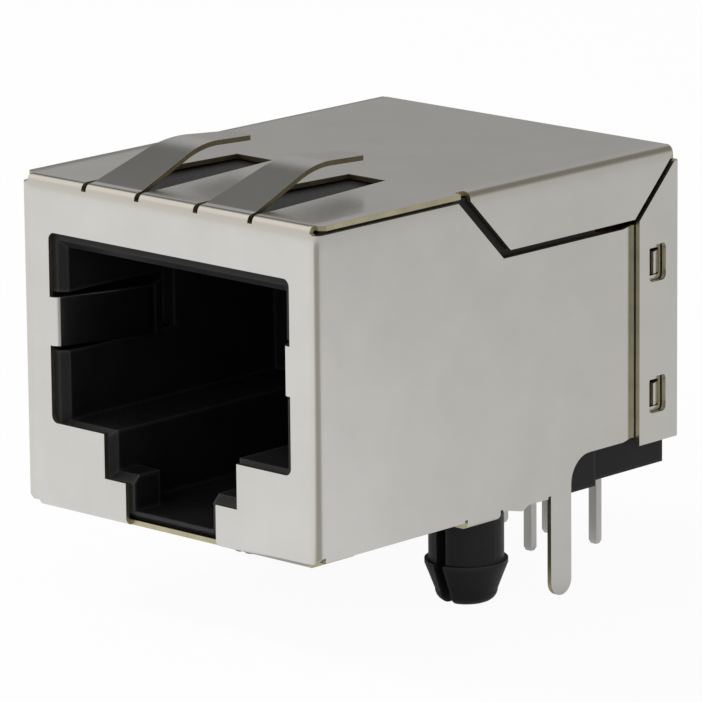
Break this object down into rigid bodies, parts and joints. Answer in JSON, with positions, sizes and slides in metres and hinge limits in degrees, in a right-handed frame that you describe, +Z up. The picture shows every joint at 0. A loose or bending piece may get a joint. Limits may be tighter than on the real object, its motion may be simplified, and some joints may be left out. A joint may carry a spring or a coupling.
{
  "type": "rj45 board jack",
  "caption": "Shielded RJ45 board jack, latch side down: a plug port in a folded metal shield with ground fingers, split pegs, ground pins and staggered signal pins.",
  "frame": {"origin": "on the plane of the circuit board's top face, in the plane of the jack's front face, at the middle of the jack's width", "axes": "+X along the width, to the right as seen from behind the jack; +Y from the port towards the rear panel; +Z up, away from the circuit board"},
  "size_m": [0.016, 0.021, 0.0183],
  "materials": {
    "shield_nickel": "matt nickel-plated sheet, slightly warm, soft grain",
    "black_plastic": "moulded black plastic, fine matt texture",
    "carrier_plastic": "moulded black plastic",
    "contact_gold": "gold-plated spring contacts",
    "tin_pin": "dull tin plating",
    "board": "green solder mask",
    "ferrite": "dark grey ferrite",
    "transformer_wire": "enamelled copper wire",
    "choke_wire": "red enamelled wire",
    "chip_resistor": "black glazed body with tinned caps",
    "chip_capacitor": "tan ceramic"
  },
  "bodies": {
    "root": {"shield": "shield_nickel", "housing": "black_plastic", "contact_carrier": "carrier_plastic", "contact_1": "contact_gold", "contact_2": "contact_gold", "contact_3": "contact_gold", "contact_4": "contact_gold", "contact_5": "contact_gold", "contact_6": "contact_gold", "contact_7": "contact_gold", "contact_8": "contact_gold", "circuit_board": "board", "terminal_base": "black_plastic", "signal_pin_1": "tin_pin", "signal_pin_2": "tin_pin", "signal_pin_3": "tin_pin", "signal_pin_4": "tin_pin", "signal_pin_5": "tin_pin", "signal_pin_6": "tin_pin", "signal_pin_7": "tin_pin", "signal_pin_8": "tin_pin", "transformer_core_1": "ferrite", "transformer_core_2": "ferrite", "transformer_winding_1": "transformer_wire", "transformer_winding_2": "transformer_wire", "choke_core_1": "ferrite", "choke_core_2": "ferrite", "choke_winding_1": "choke_wire", "choke_winding_2": "choke_wire", "resistor_1": "chip_resistor", "resistor_2": "chip_resistor", "resistor_3": "chip_resistor", "resistor_4": "chip_resistor", "capacitor": "chip_capacitor"}
  },
  "joints": []
}
